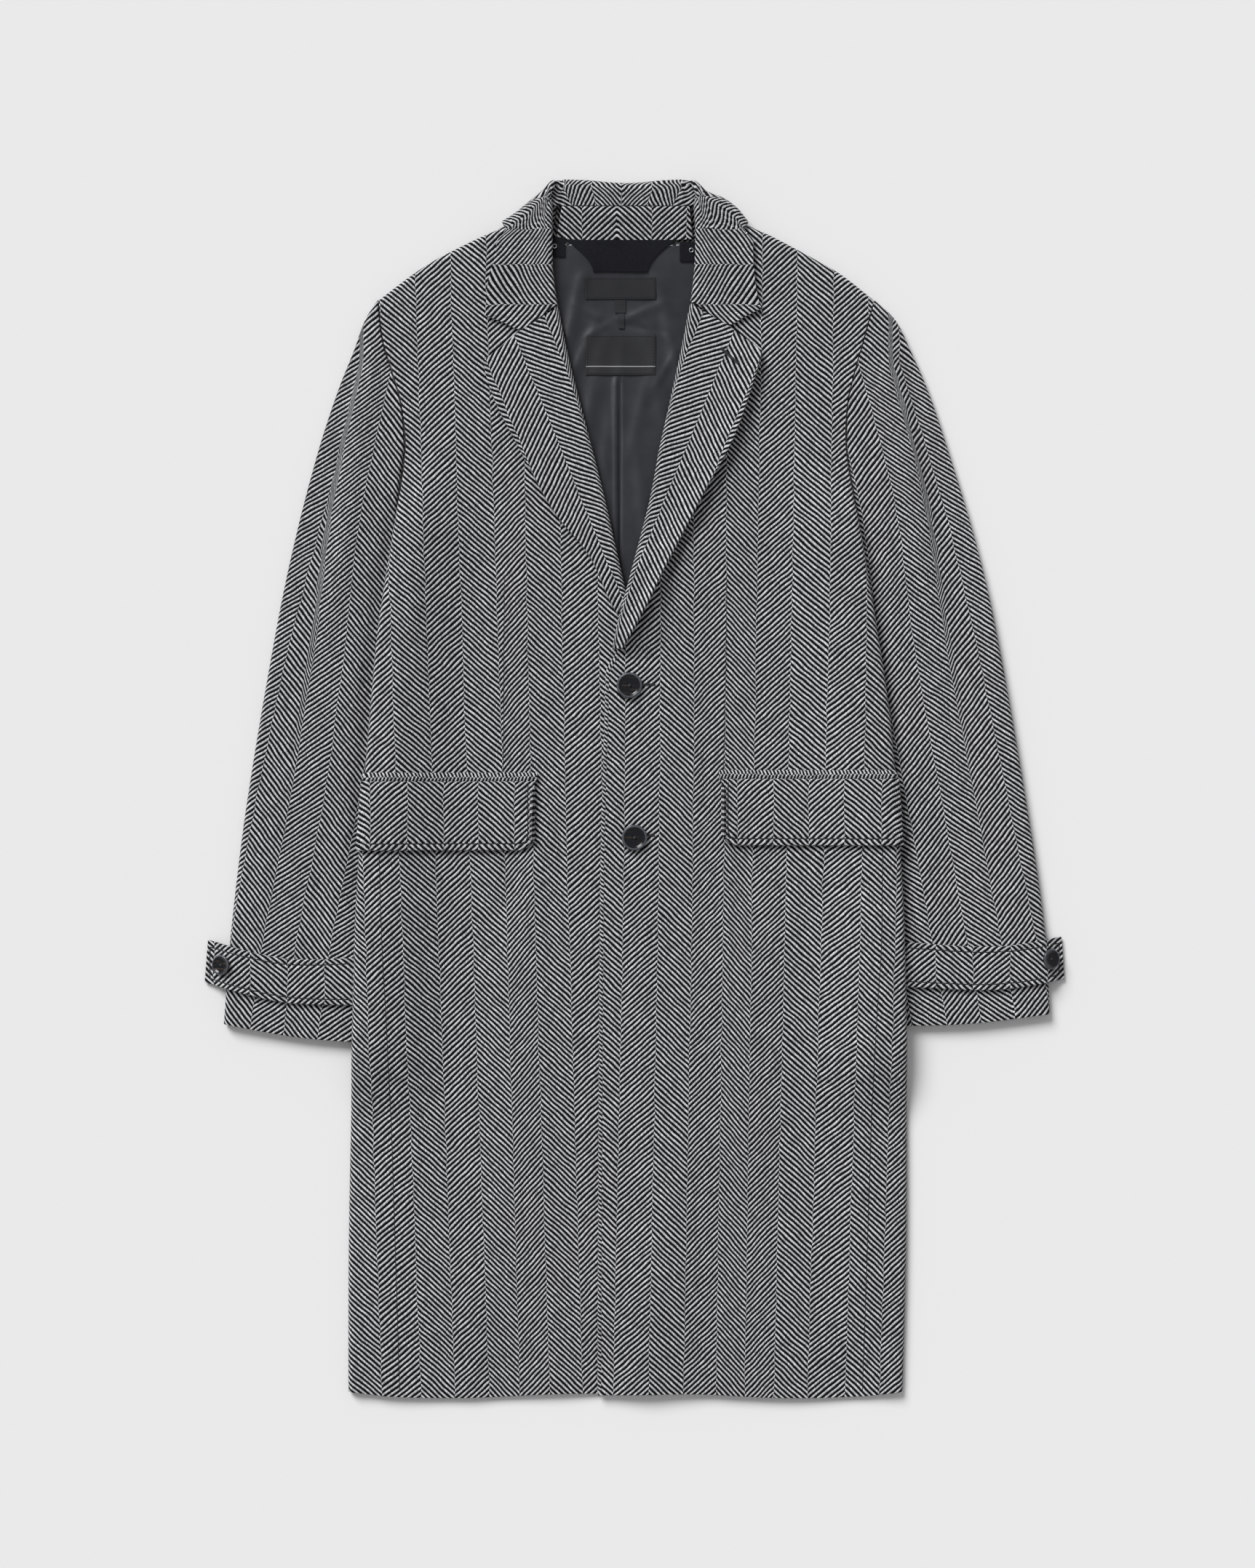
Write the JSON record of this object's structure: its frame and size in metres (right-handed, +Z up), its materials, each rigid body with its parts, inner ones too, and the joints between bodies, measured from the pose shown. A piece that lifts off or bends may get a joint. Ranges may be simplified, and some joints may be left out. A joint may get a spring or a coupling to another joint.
{
  "type": "wool overcoat",
  "caption": "Knee-length single-breasted herringbone wool overcoat with notched lapels, flap pockets and cuff straps, fastened and laid flat on its back.",
  "frame": {"origin": "on the surface it lies on, under the middle of the coat's box", "axes": "+Y from the hem towards the collar, +X towards the wearer's left sleeve, +Z up from the surface"},
  "size_m": [0.7674, 1.087, 0.0257],
  "materials": {
    "coating": "napped herringbone wool, dark navy and grey-white yarns",
    "facing": "matt black boiled wool",
    "lining": "charcoal satin lining",
    "label": "black woven ribbon, blank",
    "button": "polished dark horn-effect resin",
    "eyelet": "dull grey metal"
  },
  "bodies": {
    "root": {"back": "coating", "front_left": "coating", "front_right": "coating", "sleeve_left": "coating", "sleeve_right": "coating", "lapel_left": "coating", "lapel_right": "coating", "collar": "coating", "collar_stand": "coating", "flap_left": "coating", "flap_right": "coating", "welt_left": "coating", "welt_right": "coating", "cuff_strap_left": "coating", "cuff_strap_right": "coating", "neck_facing": "facing", "snap_tab_left": "facing", "snap_tab_right": "facing", "lining_back": "lining", "label_upper": "label", "label_lower": "label", "size_tab": "label", "care_tab": "label", "button_top": "button", "button_bottom": "button", "cuff_button_left": "button", "cuff_button_right": "button", "eyelet_left": "eyelet", "eyelet_right": "eyelet"}
  },
  "joints": []
}
